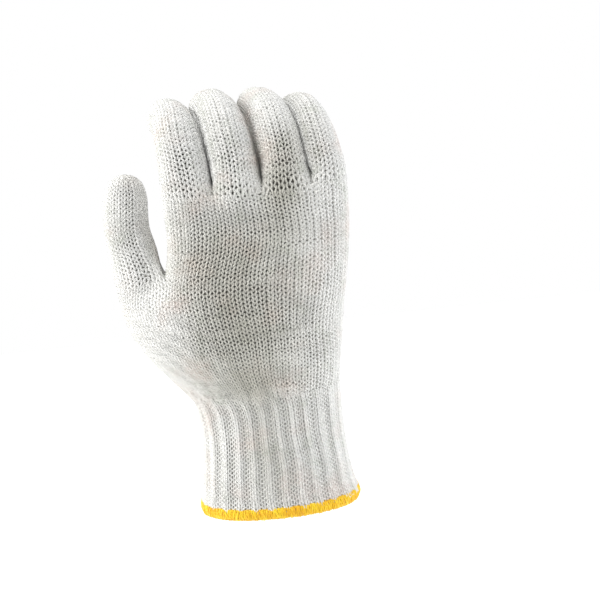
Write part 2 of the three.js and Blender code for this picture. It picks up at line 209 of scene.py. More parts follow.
# Where the hand stretches the knit, or leaves it closed where the amount is below 0: middle across
# and up, half width, half height and amount
STRETCHES = [
    (-15, 140, 26, 18, 0.6),
    (-20, 112, 27, 17, 0.55),
    (2, 97, 24, 21, 0.52),
    (-20, 96, 18, 9, 0.35),
    (-25, 68, 12, 3, 0.45),
    (-24, 33, 5, 22, 0.25),
    (-9, 74, 14, 7, 0.3),
    (-6, 166, 30, 14, 0.36),
    (-31, 191, 9, 11, 0.85),
    (-5, 191, 8, 12, 0.8),
    (24, 193, 8, 11, 1.1),
    (19, 176, 6, 9, 0.7),
    (16, 158, 10, 12, 0.25),
    (42, 190, 6, 13, 0.45),
    (-62, 150, 5, 13, 0.5),
    (-62, 177, 5, 7, 0.5),
    (-57, 132, 8, 9, 0.3),
    (-49, 116, 10, 13, -0.8),
    (-17, 177, 5, 5, -0.8),
    (8, 177, 5, 5, -0.8),
    (34, 177, 5, 5, -0.8),
]

# Where shade is painted into the knit, or light where the amount is below 0: middle across and up,
# half width, half height and amount
PAINTED_SHADING_PATCHES = [
    (-14, 137, 28, 22, 0.5),
    (-8, 98, 26, 20, 0.52),
    (24, 192, 9, 10, 0.35),
    (19, 175, 8, 10, 0.5),
    (16, 157, 10, 14, 0.3),
    (-9, 73, 15, 9, 0.42),
    (-3, 36, 9, 28, 0.25),
    (-23, 42, 6, 16, -0.3),
    (-60, 150, 12, 30, -0.4),
    (-53, 172, 5, 15, -0.45),
    (-67, 154, 7, 9, 0.3),
    (-49, 112, 12, 16, -0.2),
]

# Where the string is followed round a loop, in degrees: closest together at its bends
LOOP_POINTS = (-140, -114, -66, -40, 0, 40, 66, 114, 140, 180)

# How far neighbouring fingers press towards each other, the height over which that starts, how
# squarely a side faces the neighbour where it starts to move and where it moves in full, and
# between which directions a finger's back turns into its palm side
FINGER_PRESS = 1.35
FINGER_PRESS_RISE = 4.5
PRESS_FACING = (0.3, 0.9)
PALM_SIDE_FACING = (-0.15, 0.3)

# How deep the gathers above the wrist are, and how far they run up
GATHER_DEPTH = 0.5
GATHER_RISE = 20

# Sections of the hand, each with its number of wales
WALES = {"lower_palm": 76, "upper_palm": 58, "thumb": 22, "index_finger": 20, "middle_finger": 20,
         "ring_finger": 20, "little_finger": 15}
HAND_SECTIONS = list(WALES)


def smooth_step(value, low, high):
    share = np.clip((value - low) / (high - low), 0, 1)
    return share * share * (3 - 2 * share)


def half_outline(half_width, depth, side, roundness, shares):
    """Points of half a rounded outline, at shares of its length from its right end"""
    angles = np.linspace(0, math.pi, num=241)
    across = half_width * np.sign(np.cos(angles)) * np.abs(np.cos(angles)) ** (2 / roundness)
    out = side * depth * np.clip(np.sin(angles), 0, None) ** (2 / roundness)
    lengths = np.append(0, np.cumsum(np.hypot(np.diff(across), np.diff(out))))
    wanted = lengths[-1] * shares
    return np.interp(wanted, lengths, across), np.interp(wanted, lengths, out)


def section_ring(section, width, depth, level, lean, roundness, count):
    """A level ring of points round a cross-section: right side, back, left side, palm side"""
    left = -section["left"] * width / 2
    right = section["right"] * width / 2
    half = (right - left) / 2
    shares = np.arange(count // 2) / (count // 2)
    pull = section.get("pull", 0)
    spread = section.get("spread", 0)
    # Spread and pull are the greatest moves, as x * x * (1 - x) is never more than 4 / 27
    bump = 27 / 4 * shares * (1 - shares)
    over_shares = shares + bump * (pull * shares + spread * (1 - shares))
    under_shares = shares - bump * (pull * (1 - shares) + spread * shares)
    over = half_outline(half, section["back"] * depth / 2, -1, roundness, over_shares)
    under = half_outline(half, section["front"] * depth / 2, 1, roundness, under_shares)
    across = np.append(over[0], -under[0])
    out = np.append(over[1], under[1])
    thumb_side = smooth_step(-across / half, 0, 1)
    forward = lean + section.get("thumb", 0) * depth / 2 * thumb_side
    return np.stack([(left + right) / 2 + across, out + forward, np.full(count, level)], 1)


def inward_directions(ring):
    """The level direction inwards at each point of a ring"""
    along = np.roll(ring, -1, 0) - np.roll(ring, 1, 0)
    inwards = np.cross(along, (0, 0, 1))
    return inwards / np.linalg.norm(inwards, axis=1)[:, None]


def lean_at(level):
    """How far the hand leans towards its palm side at a level"""
    return max(0, level - WRIST_LEVEL) * PALM_LEAN


class Net:
    """A coarse net of four-sided faces, each with its section and its place in the knitting"""

    def __init__(self):
        self.points = []
        self.faces = []

    def add_points(self, points):
        first = len(self.points)
        self.points.extend(np.array(point, float) for point in points)
        return list(range(first, len(self.points)))

    def add_band(self, lower, upper, section, row):
        for i, corner in enumerate(lower):
            after = (i + 1) % len(lower)
            corners = [corner, upper[i], upper[after], lower[after]]
            places = [(i, row), (i, row + 1), (i + 1, row + 1), (i + 1, row)]
            self.faces.append((corners, places, section))


def add_digit(net, name, loop, base, rings, size):
    """Rings of a digit along its curved middle line, closed by a small end face"""
    centre = base.copy()
    below = loop
    parts = 8
    shares = (np.arange(parts) + 0.5) / parts
    turns = 2 * math.pi * np.arange(len(loop)) / len(loop)
    for row, (start, end) in enumerate(zip(rings, rings[1:])):
        curls = np.radians(start["curl"] + (end["curl"] - start["curl"]) * shares)
        leans = np.radians((start["lean"] + (end["lean"] - start["lean"]) * shares) * size["lean"])
        step = (end["along"] - start["along"]) * size["length"] / parts
        centre[0] -= step * np.sin(leans).sum()
        centre[1] += step * (np.cos(leans) * np.sin(curls)).sum()
        centre[2] += step * (np.cos(leans) * np.cos(curls)).sum()
        curl = math.radians(end["curl"])
        lean = math.radians(end["lean"] * size["lean"])
        width = end["width"] * size["width"] * (1 + (size["taper"] - 1) * end["along"])
        across = np.array([math.cos(lean), math.sin(lean) * math.sin(curl),
                           math.sin(lean) * math.cos(curl)])
        outwards = np.array([0, -math.cos(curl), math.sin(curl)])
        ring = (centre + np.outer(np.cos(turns), across) * width / 2
                + np.outer(np.sin(turns), outwards) * end["depth"] * size["depth"] / 2)
        above = net.add_points(ring)
        net.add_band(below, above, name, row)
        below = above
    net.faces.append((below[::-1], [(0, 0)] * len(below), name + "_tip"))


def palm_ring(section, level, count):
    return section_ring(section, PALM_WIDTH, PALM_DEPTH, level, lean_at(level), PALM_ROUNDNESS,
                        count)


def cuff_ring(section, level, count):
    return section_ring(section, CUFF_WIDTH, CUFF_DEPTH, level, 0, CUFF_ROUNDNESS, count)


def thumb_root_ring(base):
    """The points of the thumb's root that no part of the palm shares"""
    start = THUMB_RINGS[0]
    lean = math.radians(start["lean"])
    turns = 2 * math.pi * np.arange(2, THUMB_COLUMNS + 2) / (THUMB_COLUMNS + 3)
    across = start["width"] * THUMB_WIDTH / 2 * np.cos(turns)
    out = start["depth"] * THUMB_DEPTH / 2 * np.sin(turns)
    return base + np.stack([across * math.cos(lean), -out, across * math.sin(lean)], 1)


def hand_net():
    """The whole hand above the wrist, built as its solids are"""
    net = Net()
    columns = sum(finger["columns"] for finger in FINGERS)
    upper_count = 2 * (columns + 2)
    lower_count = upper_count + THUMB_COLUMNS - 1
    left_side = upper_count // 2

    wrist = {**CUFF_SECTIONS[-1], **WRIST_WALES}
    ring = net.add_points(cuff_ring(wrist, WRIST_LEVEL, lower_count))
    for row, section in enumerate(LOWER_PALM_SECTIONS):
        level = WRIST_LEVEL + section["up"] * LOWER_PALM_LENGTH
        above = net.add_points(palm_ring(section, level, lower_count))
        net.add_band(ring, above, "lower_palm", row)
        ring = above

    upper = net.add_points(palm_ring(UPPER_PALM_SECTIONS[0], THUMB_CROTCH_LEVEL, upper_count))
    thumb_base = np.array([THUMB_ROOT["across"] * PALM_WIDTH / 2,
                           THUMB_ROOT["forward"] * PALM_DEPTH / 2,
                           THUMB_CROTCH_LEVEL - THUMB_ROOT["drop"]])
    thumb_ring = net.add_points(thumb_root_ring(thumb_base))
    back = upper[:left_side]
    front = upper[left_side + 1:]
    net.add_band(ring, [*back, *thumb_ring, *front], "lower_palm", len(LOWER_PALM_SECTIONS))
    add_digit(net, "thumb", [upper[left_side], back[-1], *thumb_ring, front[0]], thumb_base,
              THUMB_RINGS, {"length": THUMB_LENGTH, "lean": 1, "width": THUMB_WIDTH,
                            "depth": THUMB_DEPTH, "taper": 1})

    for row, section in enumerate(UPPER_PALM_SECTIONS[1:-1]):
        level = THUMB_CROTCH_LEVEL + section["up"] * UPPER_PALM_LENGTH
        above = net.add_points(palm_ring(section, level, upper_count))
        net.add_band(upper, above, "upper_palm", row)
        upper = above
    root = finger_root_ring(upper_count, left_side)
    root_ring = net.add_points(root)
    net.add_band(upper, root_ring, "upper_palm", len(UPPER_PALM_SECTIONS) - 2)
    add_fingers(net, root_ring, left_side)
    return net


def finger_root_ring(count, left_side):
    """The top of the palm, drawn in between the fingers and higher on the palm side"""
    section = UPPER_PALM_SECTIONS[-1]
    points = palm_ring(section, ROOT_LEVEL, count)
    lean = lean_at(ROOT_LEVEL)
    borders = []
    for finger in FINGERS[:0:-1]:
        borders.append((borders[-1] if borders else 1) + finger["columns"])
    for i, point in enumerate(points):
        mirrored = i if i <= left_side else count - i
        if mirrored in borders:
            point[1] -= math.copysign(VALLEY_DEPTH, point[1] - lean)
        towards_palm = (point[1] - lean) / (PALM_DEPTH * section["front"])
        point[2] += WEB_RISE * (0.5 + towards_palm)
    return points


def add_fingers(net, root_ring, left_side):
    """Fingers on their parts of the root line, with a shared crotch between neighbours"""
    count = len(root_ring)
    lean = lean_at(ROOT_LEVEL)
    right = root_ring[0]
    right_column = 1
    for finger in FINGERS[::-1]:
        left_column = right_column + finger["columns"]
        back = root_ring[right_column:left_column + 1]
        front = root_ring[count - left_column:count - right_column + 1]
        if left_column + 1 == left_side:
            left = root_ring[left_side]
        else:
            crotch = (net.points[back[-1]] + net.points[front[0]]) / 2
            crotch[1] = lean
            crotch[2] += CROTCH_RISE
            left = net.add_points([crotch])[0]
        base = (net.points[left] + net.points[right]) / 2
        base[1] = lean
        base[2] = ROOT_LEVEL + WEB_RISE / 2
        size = {"length": finger["length"], "lean": finger["lean"],
                "width": finger["root"] * PALM_WIDTH, "depth": finger["depth"] * FINGER_DEPTH,
                "taper": finger["taper"]}
        add_digit(net, finger["name"], [right, *back, left, *front], base, FINGER_RINGS, size)
        right = left
        right_column = left_column


def cuff_net():
    """The ribbed cuff, with a ridge at each rib and valleys between"""
    net = Net()
    count = RIB_COUNT * POINTS_PER_RIB
    below = None
    for row, section in enumerate(CUFF_SECTIONS):
        level = BINDING_HEIGHT + section["up"] * CUFF_LENGTH
        ring = cuff_ring(section, level, count)
        valley = (np.arange(count) % POINTS_PER_RIB != 0) * RIB_RELIEF * section["relief"]
        above = net.add_points(ring + inward_directions(ring) * valley[:, None])
        if below:
            net.add_band(below, above, "rib_cuff", row - 1)
        below = above
    return net


def net_mesh(net, points, sections):
    """A mesh of the net, with the knitting's columns and rows as its UV map"""
    bm = bmesh.new()
    corners = [bm.verts.new(Vector(point) * MM) for point in points]
    places = bm.loops.layers.uv.new("knit")
    for face_corners, face_places, section in net.faces:
        face = bm.faces.new([corners[corner] for corner in face_corners])
        face.material_index = sections.index(section)
        face.smooth = True
        for loop, place in zip(face.loops, face_places):
            loop[places].uv = place
    mesh = bpy.data.meshes.new("net")
    bm.to_mesh(mesh)
    bm.free()
    return mesh


def finished_mesh(obj, name):
    """The object's mesh with its modifiers applied; the object itself is removed"""
    graph = bpy.context.evaluated_depsgraph_get()
    mesh = bpy.data.meshes.new_from_object(obj.evaluated_get(graph), depsgraph=graph)
    mesh.name = name
    bpy.data.objects.remove(obj)
    return mesh


def new_object(name, data):
    obj = bpy.data.objects.new(name, data)
    bpy.context.scene.collection.objects.link(obj)
    return obj


def rounded_mesh(net, points, sections, levels):
    """The net rounded by subdivision, with its points on the fully rounded surface"""
    obj = new_object("net", net_mesh(net, points, sections))
    rounding = obj.modifiers.new("rounding", "SUBSURF")
    rounding.levels = levels
    rounding.render_levels = levels
    rounding.use_limit_surface = True
    rounding.uv_smooth = "NONE"
    return finished_mesh(obj, "rounded")


def read_values(items, what, width=1, kind=float):
    """One value of each item, or a row of values of each, as an array"""
    values = np.zeros(len(items) * width, kind)
    items.foreach_get(what, values)
    return values if width == 1 else values.reshape(-1, width)


def coordinates(mesh, what="co"):
    return read_values(mesh.vertices, what, 3)


def fitted_points(net, sections):
    """Moves the net until its rounded surface passes through the points that it was given"""
    given = np.array(net.points)
    points = given.copy()
    for _ in range(4):
        surface = coordinates(rounded_mesh(net, points, sections, 1))[:len(points)] / MM
        points += given - surface
    return points


def corner_values(mesh):
    """The point, the section and the place in the knitting of each corner of the faces"""
    points = read_values(mesh.loops, "vertex_index", kind=int)
    sections = np.repeat(read_values(mesh.polygons, "material_index", kind=int),
                         read_values(mesh.polygons, "loop_total", kind=int))
    return points, sections, read_values(mesh.uv_layers["knit"].uv, "vector", 2)


def worn_shape(mesh, sections):
    """Moves the rounded hand a little in and out: fingers that touch, gathers above the wrist"""
    points = coordinates(mesh) / MM
    normals = coordinates(mesh, "normal")
    corners, corner_sections, places = corner_values(mesh)
    numbers = np.zeros(len(points), int)
    numbers[corners] = corner_sections
    rows = np.zeros(len(points))
    rows[corners] = places[:, 1]
    curl = np.radians(np.interp(rows, np.arange(len(FINGER_RINGS)),
                                [ring["curl"] for ring in FINGER_RINGS]))
    towards_palm = normals[:, 1] * np.cos(curl) - normals[:, 2] * np.sin(curl)
    palm_half = smooth_step(towards_palm, *PALM_SIDE_FACING)
    out = np.zeros(len(points))
    names = [finger["name"] for finger in FINGERS]
    level = ROOT_LEVEL + WEB_RISE
    start = smooth_step(points[:, 2], level, level + FINGER_PRESS_RISE)
    for place, name in enumerate(names):
        mine = (numbers == sections.index(name)) | (numbers == sections.index(name + "_tip"))
        towards_thumb = smooth_step(-normals[:, 0], *PRESS_FACING) * (place > 0)
        towards_little = smooth_step(normals[:, 0], *PRESS_FACING) * (place < len(names) - 1)
        out += mine * start * palm_half * (towards_thumb + towards_little) * FINGER_PRESS
        out -= mine * start * (1 - palm_half) * towards_thumb * FINGERS[place]["crease"]
    above_wrist = points[:, 2] - WRIST_LEVEL
    round_wrist = np.arctan2(points[:, 1] / CUFF_DEPTH, points[:, 0] / CUFF_WIDTH)
    fade = 1 - smooth_step(above_wrist, 0, GATHER_RISE)
    out -= GATHER_DEPTH * fade * (0.5 - 0.5 * np.cos(RIB_COUNT * round_wrist))
    mesh.vertices.foreach_set("co", ((points + normals * out[:, None]) * MM).ravel())
    mesh.update()


class Surface:
    """The rounded outer surface of one section, looked up by column and row of the net"""

    def __init__(self, mesh, section_index, steps, crease_painted_shadings=(0, 0)):
        corners, sections, places = corner_values(mesh)
        mine = sections == section_index
        columns, rows = np.rint(places[mine] * steps).astype(int).T
        self.steps = steps
        self.crease_painted_shadings = crease_painted_shadings
        self.columns = columns.max() // steps
        self.rows = rows.max()
        self.points = np.zeros((rows.max() + 1, columns.max() + 1, 3))
        self.normals = np.zeros_like(self.points)
        self.points[rows, columns] = coordinates(mesh)[corners[mine]] / MM
        self.normals[rows, columns] = coordinates(mesh, "normal")[corners[mine]]
        lengths = np.linalg.norm(np.diff(self.points, axis=0), axis=2)
        on_back = self.normals[:-1, :, 1] < 0
        palm_weight = 0.1
        lengths = np.average(lengths, axis=1, weights=np.where(on_back, 1, palm_weight))
        self.lengths = np.append(0, np.cumsum(lengths))
        self.girths = np.linalg.norm(np.diff(self.points, axis=1), axis=2).sum(1)

    def row_at(self, length):
        """The row at a mean length above the section's lower edge"""
        inside = np.clip(length, 0, self.lengths[-1])
        first = self.lengths[1] - self.lengths[0]
        return np.interp(inside, self.lengths, np.arange(self.rows + 1)) + (length - inside) / first

    def painted_shading(self, direction):
        """Painted shade in the creases between fingers, painted light where below 0, by the way
        that the knit faces
        """
        thumb_side, little_side = self.crease_painted_shadings
        return (thumb_side * smooth_step(-direction[..., 0], THUMB_CREASE_FACING, 1)
                + little_side * smooth_step(direction[..., 0], LITTLE_CREASE_FACING, 1))

    def girth_at(self, length):
        return np.interp(length, self.lengths, self.girths)

    def place(self, column, row, out):
        """Points at columns and rows of the net, at a height above the outer surface"""
        across = np.mod(column * self.steps, self.columns * self.steps)
        i = np.minimum(across.astype(int), self.columns * self.steps - 1)
        j = np.clip(np.floor(row).astype(int), 0, self.rows - 1)
        u = (across - i)[..., None]
        v = (row - j)[..., None]

        def blend(values):
            lower = values[j, i] * (1 - u) + values[j, i + 1] * u
            upper = values[j + 1, i] * (1 - u) + values[j + 1, i + 1] * u
            return lower * (1 - v) + upper * v

        direction = blend(self.normals)
        direction /= np.linalg.norm(direction, axis=-1)[..., None]
        return blend(self.points) + direction * np.asarray(out)[..., None], direction


def soft_patches(points, patches):
    """The sum of patches that fade out round their middles"""
    total = np.zeros(points.shape[:-1])
    for across, up, half_width, half_height, amount in patches:
        away = (((points[..., 0] - across) / half_width) ** 2
                + ((points[..., 2] - up) / half_height) ** 2)
        total += amount * np.exp(-PATCH_FADE * away)
    return total


def openness(points, direction):
    """How far the knit is stretched open, from 0 to 1"""
    facing = smooth_step(np.abs(direction[..., 1]), SIDE_FACING, 1)
    above_wrist = smooth_step(points[..., 2] - WRIST_LEVEL, -OPENING_RISE, OPENING_RISE)
    stretch = HAND_OPENNESS * above_wrist + CUFF_OPENNESS * (1 - above_wrist)
    return np.clip(facing * (stretch + soft_patches(points, STRETCHES)), 0, 1)


def round_course(values, at):
    """Values of a course's wales at places round it, blended between neighbours"""
    count = len(values)
    return np.interp(at, np.arange(-1, count + 1) + 0.5,
                     np.concatenate([values[-1:], values, values[:1]]))


def drift(rng, count, at, amount, smooth=1):
    """A random value for each stitch, blended between neighbours round the course"""
    values = rng.normal(0, amount, count)
    for _ in range(smooth):
        values = (np.roll(values, 1) + 2 * values + np.roll(values, -1)) / 4
    return round_course(values, at)


def wander(points):
    """The slow sideways wander of the wales in millimetres, the same field for all sections"""
    return sum(shift * np.sin(points[..., 0] / across + points[..., 2] / up + start)
               for shift, across, up, start in WANDER_WAVES)


def loop_shape(wales, stitch):
    """One course of even loops: places across in wales and up in millimetres, how far each place
    faces out, and how far it stands out"""
    turn = np.radians(LOOP_POINTS)
    wale = np.arange(wales)[:, None] + 0.5
    swing = stitch["swing"] * np.sin(2 * turn) / (2 * math.pi)
    across = (wale + turn / (2 * math.pi) + swing).ravel()
    up = stitch["reach"] * np.tile(np.cos(turn), wales)
    facing = stitch["face"](across)
    lift = -stitch["lift"] * np.tile(np.cos(2 * turn), wales) * facing
    return across, up, facing, lift


def course_yarn(surface, wales, length, stitch, wale_shift, rng):
    """The string's path through one course of loops, its thickness, openness and painted shading"""
    across, up, facing, lift = loop_shape(wales, stitch)
    at_wale = np.mod(across, wales).astype(int)
    up = length + up + drift(rng, wales, across, UNEVEN["up"])
    up += drift(rng, wales, across, UNEVEN["waves"], smooth=12)
    out = YARN_MIDDLE + drift(rng, wales, across, UNEVEN["out"])
    swell = 1 - WALE_SWELL / WALE_SHIFT * wale_shift[at_wale]
    across = across + drift(rng, wales, across, UNEVEN["across"])
    across += round_course(wale_shift[:wales], across)

    column = (across + stitch["shift"]) * surface.columns / wales
    width = surface.girth_at(length) / wales
    row = surface.row_at(up)
    points, direction = surface.place(column, row, out)
    column += wander(points) / width * surface.columns / wales
    stretch = openness(points, direction)
    ribs = (smooth_step(stretch, 0, RIB_OPENNESS)
            * smooth_step(WRIST_LEVEL - points[:, 2], 0, RIB_FADE))
    stretch = stretch + stitch["valleys"] * (RIB_MIDDLE_FACING - facing) * ribs
    out = out + lift * (stitch["closed_lift"] + (1 - stitch["closed_lift"]) * stretch)

    radius = np.clip(width / WALE, NARROWEST_WALE, WIDEST_WALE) ** 0.5 * swell
    radius *= (1 + drift(rng, wales, across, UNEVEN["swell"], smooth=2)
               + drift(rng, wales, across, UNEVEN["each"]))
    radius *= 1 + CLOSED_SWELL * (1 - stretch)
    points, direction = surface.place(column, row, out)
    # Painted shade, or painted light where below 0, in the creases between fingers and in patches
    start = smooth_step(points[:, 2], ROOT_LEVEL + WEB_RISE / 2, ROOT_LEVEL + 2 * WEB_RISE)
    grey = surface.painted_shading(direction) * start + soft_patches(points, PAINTED_SHADING_PATCHES)
    return points, radius, stretch, grey


def twists(points):
    """The whole number of turns that the plies make along a closed string"""
    return round(np.linalg.norm(np.roll(points, -1, 0) - points, axis=1).sum() / PLY_TWIST)


def string_curve(name, paths, thickness):
    """One mesh of closed round strings along paths with their thickness, openness and painted
    shading
    """
    curve = bpy.data.curves.new(name, "CURVE")
    curve.dimensions = "3D"
    curve.bevel_depth = thickness / 2 * MM
    curve.bevel_resolution = 0
    for points, radius, *_ in paths:
        spline = curve.splines.new("POLY")
        spline.points.add(len(points) - 1)
        four = np.append(points * MM, np.ones((len(points), 1)), 1)
        spline.points.foreach_set("co", four.ravel())
        spline.points.foreach_set("radius", radius)
        spline.use_cyclic_u = True
        spline.use_smooth = True
    mesh = finished_mesh(new_object(name, curve), name)
    values_of = {"openness": [path[2] for path in paths], "painted_shading": [path[3] for path in paths],
                 "twists": [np.full(len(points), twists(points)) for points, *_ in paths]}
    for what, parts in values_of.items():
        values = np.concatenate(parts)
        layer = mesh.attributes.new(what, "FLOAT", "POINT")
        layer.data.foreach_set("value", np.repeat(values, len(mesh.vertices) // len(values)))
    return mesh


def knitted_courses(surface, full_wales, stitch, seed):
    """The strings of all courses of a section, with fewer wales where it narrows to a tip"""
    rng = np.random.default_rng(seed)
    wale_shift = rng.normal(0, WALE_SHIFT, full_wales)
    count = max(1, round(surface.lengths[-1] / COURSE))
    paths = []
    for course in range(count):
        length = (course + COURSE_START) / count * surface.lengths[-1]
        girth = surface.girth_at(length)
        wales = full_wales
        while wales >= FEWEST_WALES and girth / wales < NARROWEST_WALE * WALE:
            wales //= 2
        paths.append(course_yarn(surface, wales, length, stitch, wale_shift, rng))
    return paths


def plain_face(across):
    return np.ones_like(across)


def ribbed_face(across):
    """1 on the ridges of the ribs, where loops face out, down to -0.6 amid the valleys"""
    return 0.2 + 0.8 * np.cos(2 * math.pi * (across - 0.5) / POINTS_PER_RIB)


# The two stitches: sideways swing of their loops as a factor, how far these reach up and down and
# stand out, how far they face out, their shift in wales, how much more a rib's valleys open, and
# the share of the lift that closed knit has
PLAIN_STITCH = {"swing": 1.5, "reach": 1.69, "lift": 0.3, "face": plain_face, "shift": 0,
                "valleys": 0, "closed_lift": 0.25}
RIB_STITCH = {"swing": 1.0, "reach": 1.7, "lift": 0.22, "face": ribbed_face, "shift": -0.5,
              "valleys": 0.38, "closed_lift": 1}


def hex_colour(code):
    """Linear red, green, blue and alpha of an sRGB hex colour"""
    channels = [int(code[i:i + 2], 16) / 255 for i in (1, 3, 5)]
    linear = [c / 12.92 if c <= 0.04045 else ((c + 0.055) / 1.055) ** 2.4 for c in channels]
    return (*linear, 1)


def set_inputs(tree, node, inputs):
    """Gives each input of a node a plain value or a link to another node's output"""
    for name, value in inputs.items():
        if isinstance(value, bpy.types.NodeSocket):
            tree.links.new(value, node.inputs[name])
        else:
            node.inputs[name].default_value = value


def add_node(tree, kind, inputs=None, **settings):
    """One shader node with its settings and its inputs"""
    node = tree.nodes.new(kind)
    for name, value in settings.items():
        setattr(node, name, value)
    set_inputs(tree, node, inputs or {})
    return node


def new_material(name):
    """A material, its tree, and its shader ready for its inputs to be set"""
    material = bpy.data.materials.new(name)
    material.use_nodes = True
    tree = material.node_tree
    return material, tree, tree.nodes["Principled BSDF"]


def blended_colour(tree, factor, low, high, low_at, high_at):
    """Colours between two hex values, or between a node's colour and a hex value"""
    ramp = add_node(tree, "ShaderNodeMapRange", {"Value": factor, "From Min": low_at,
                                                 "From Max": high_at})
    ends = [hex_colour(colour) if isinstance(colour, str) else colour for colour in (low, high)]
    mix = add_node(tree, "ShaderNodeMix", {0: ramp.outputs["Result"], 6: ends[0], 7: ends[1]},
                   data_type="RGBA")
    return mix.outputs[2]


def blotches(tree, place, size, low, high, low_at, high_at, detail=2):
    """Colours between two, in blotches about size millimetres across"""
    noise = add_node(tree, "ShaderNodeTexNoise",
                     {"Vector": place, "Scale": 1 / (size * MM), "Detail": detail})
    return blended_colour(tree, noise.outputs["Fac"], low, high, low_at, high_at)


def fibre_relief(tree, place, size, detail, roughness, strength, depth):
    """The relief of fibres, drawn coarser than real ones: about size millimetres across"""
    noise = add_node(tree, "ShaderNodeTexNoise",
                     {"Vector": place, "Scale": 1 / (size * MM), "Detail": detail,
                      "Roughness": roughness})
    relief = add_node(tree, "ShaderNodeBump", {"Height": noise.outputs["Fac"],
                                               "Strength": strength, "Distance": depth * MM})
    return relief.outputs["Normal"]


def ply_height(tree):
    """Two plies twisted round each other: ridges that run slantwise along the string"""
    place = add_node(tree, "ShaderNodeUVMap", uv_map="UVMap").outputs["UV"]
    parts = add_node(tree, "ShaderNodeSeparateXYZ", {"Vector": place}).outputs
    turns = add_node(tree, "ShaderNodeAttribute", attribute_name="twists").outputs["Fac"]
    height = parts["X"]
    for operation, other in (("MULTIPLY", turns), ("ADD", parts["Y"]), ("MULTIPLY", 2 * math.pi),
                             ("SINE", 0), ("ABSOLUTE", 0)):
        step = add_node(tree, "ShaderNodeMath", {0: height, 1: other}, operation=operation)
        height = step.outputs[0]
    return height


def cotton_string():
    """Bleached carded cotton, loosely spun: matt, slightly hairy, with grey and warm stretches"""
    material, tree, shader = new_material("bleached_cotton_string")
    place = add_node(tree, "ShaderNodeTexCoord").outputs["Object"]
    colour = blotches(tree, place, 22, "#DCDCD9", "#D9D1CB", 0.5, 0.72)
    colour = blotches(tree, place, 9, colour, "#CDCFC8", 0.52, 0.78)
    colour = blotches(tree, place, 1.6, colour, "#E6E5E1", 0.5, 0.7, detail=3)
    # Painted light and painted shade from the attribute that the strings carry: whiter below 0,
    # olive grey above
    painted_shading_share = add_node(tree, "ShaderNodeAttribute", attribute_name="painted_shading").outputs["Fac"]
    colour = blended_colour(tree, painted_shading_share, "#F8F8F6", colour, -0.6, 0)
    colour = blended_colour(tree, painted_shading_share, colour, "#96927C", 0, 1.25)
    fibres = fibre_relief(tree, place, 0.35, detail=3, roughness=0.6, strength=0.5, depth=0.25)
    plies = add_node(tree, "ShaderNodeBump", {"Height": ply_height(tree), "Strength": 0.8,
                                              "Distance": 0.3 * MM, "Normal": fibres})
    set_inputs(tree, shader, {"Base Color": colour, "Roughness": 0.92, "Specular IOR Level": 0.2,
                              "Sheen Weight": 0.1, "Sheen Roughness": 0.6,
                              "Normal": plies.outputs["Normal"]})
    return material


def painted_shade_backing():
    """Painted shade seen between the loops: dull grey, darkest where the knit is open and near
    white where it is closed
    """
    material, tree, shader = new_material("painted_shade_between_loops")
    place = add_node(tree, "ShaderNodeTexCoord").outputs["Object"]
    stretched = add_node(tree, "ShaderNodeAttribute", attribute_name="openness").outputs["Fac"]
    # Painted shade: mottled grey, lifted towards near white as the knit closes
    colour = blotches(tree, place, 3, "#706E69", "#A09E99", 0.35, 0.65)
    colour = blotches(tree, place, 18, colour, "#A8A7A2", 0.5, 0.75)
    colour = blended_colour(tree, stretched, "#D8D7D3", colour, 0.12, 0.62)
    set_inputs(tree, shader, {"Base Color": colour, "Roughness": 1.0, "Specular IOR Level": 0.0})
    return material


def backing_inside():
    """The inside of the glove: the same cotton, with the soft rows of the knit's reverse"""
    material, tree, shader = new_material("cotton_reverse_side")
    place = add_node(tree, "ShaderNodeTexCoord").outputs["Object"]
    colour = blotches(tree, place, 6, "#DEDBD2", "#EFEDE6", 0.4, 0.6)
    bands_per_unit = 3.2
    rows = add_node(tree, "ShaderNodeTexWave",
                    {"Vector": place, "Scale": 1 / (COURSE * MM * bands_per_unit),
                     "Distortion": 2.5}, bands_direction="Z")
    ridges = add_node(tree, "ShaderNodeBump", {"Height": rows.outputs["Fac"], "Strength": 0.8,
                                               "Distance": 0.6 * MM})
    set_inputs(tree, shader, {"Base Color": colour, "Roughness": 0.95,
                              "Normal": ridges.outputs["Normal"]})
    return material


def overlock_thread():
    """Textured polyester overlock thread, fluffy: golden yellow with ochre in its shades"""
    material, tree, shader = new_material("golden_overlock_thread")
    place = add_node(tree, "ShaderNodeTexCoord").outputs["Object"]
    colour = blotches(tree, place, 5, "#F0CB1A", "#E8B208", 0.42, 0.62, detail=3)
    colour = blotches(tree, place, 1.2, colour, "#CC9204", 0.58, 0.78, detail=3)
    fibres = fibre_relief(tree, place, 0.4, detail=4, roughness=0.7, strength=0.6, depth=0.2)
    set_inputs(tree, shader, {"Base Color": colour, "Roughness": 0.75, "Sheen Weight": 0.2,
                              "Normal": fibres})
    return material


def joined_piece(name, parts):
    """One piece from several meshes, each with its own materials in order"""
    bm = bmesh.new()
    materials = []
    for mesh, mesh_materials in parts:
        first = len(bm.faces)
        bm.from_mesh(mesh)
        bm.faces.ensure_lookup_table()
        for face in bm.faces[first:]:
            face.material_index += len(materials)
        materials.extend(mesh_materials)
    joined = bpy.data.meshes.new(name)
    bm.to_mesh(joined)
    bm.free()
    for material in materials:
        joined.materials.append(material)
    return new_object(name, joined)


